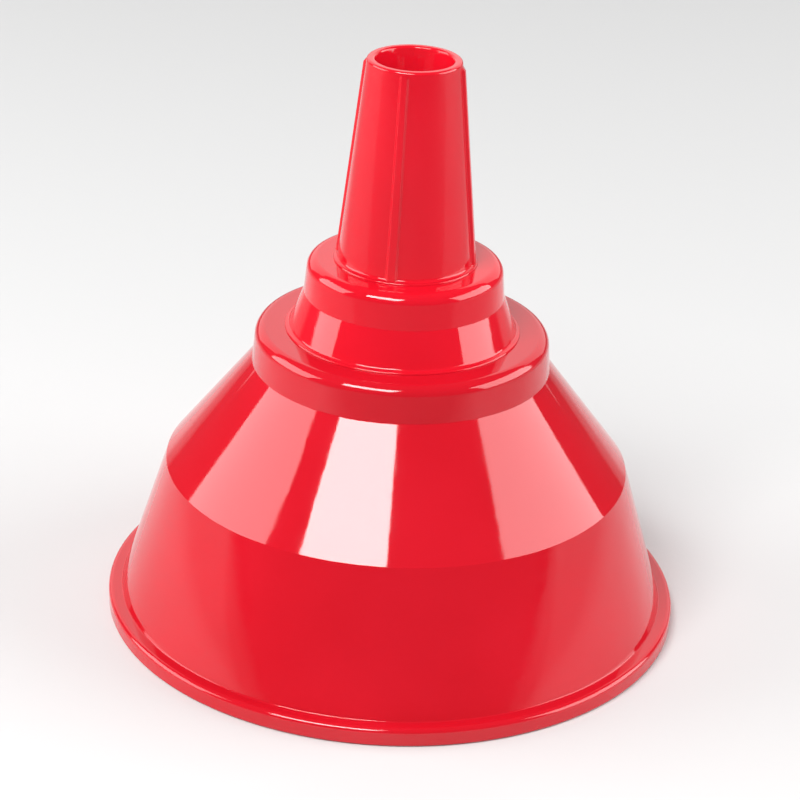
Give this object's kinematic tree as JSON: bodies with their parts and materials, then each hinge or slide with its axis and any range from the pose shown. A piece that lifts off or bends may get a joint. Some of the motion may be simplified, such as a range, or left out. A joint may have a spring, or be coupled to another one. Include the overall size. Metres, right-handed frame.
{
  "type": "pouring funnel",
  "caption": "Stepped pouring funnel on its mouth: flared bowl, push-fit neck and ribbed tapered spout, with a pull-out round strainer inside the collar.",
  "frame": {"origin": "centre of the mouth, on the flat face that the rim rests on", "axes": "+Z runs along the funnel's axis from the mouth to the spout's tip; the four vent ribs lie on +X, -X, +Y and -Y"},
  "size_m": [0.1, 0.1, 0.1],
  "materials": {
    "red_plastic": "glossy moulded polypropylene, red",
    "frame_plastic": "moulded polypropylene, red",
    "mesh": "woven stainless wire"
  },
  "bodies": {
    "bowl": {"bowl": "red_plastic"},
    "neck": {"neck": "red_plastic"},
    "spout": {"spout": "red_plastic"},
    "strainer": {"strainer_frame": "frame_plastic", "strainer_mesh": "mesh"}
  },
  "joints": [
    {"name": "neck_pull", "type": "slide", "parent": "bowl", "child": "neck", "axis": [0, 0, 1], "range_m": [0, 0.03]},
    {"name": "spout_pull", "type": "slide", "parent": "neck", "child": "spout", "axis": [0, 0, 1], "range_m": [0, 0.03]},
    {"name": "strainer_pull", "type": "slide", "parent": "bowl", "child": "strainer", "axis": [0, 0, -1], "range_m": [0, 0.042]}
  ]
}
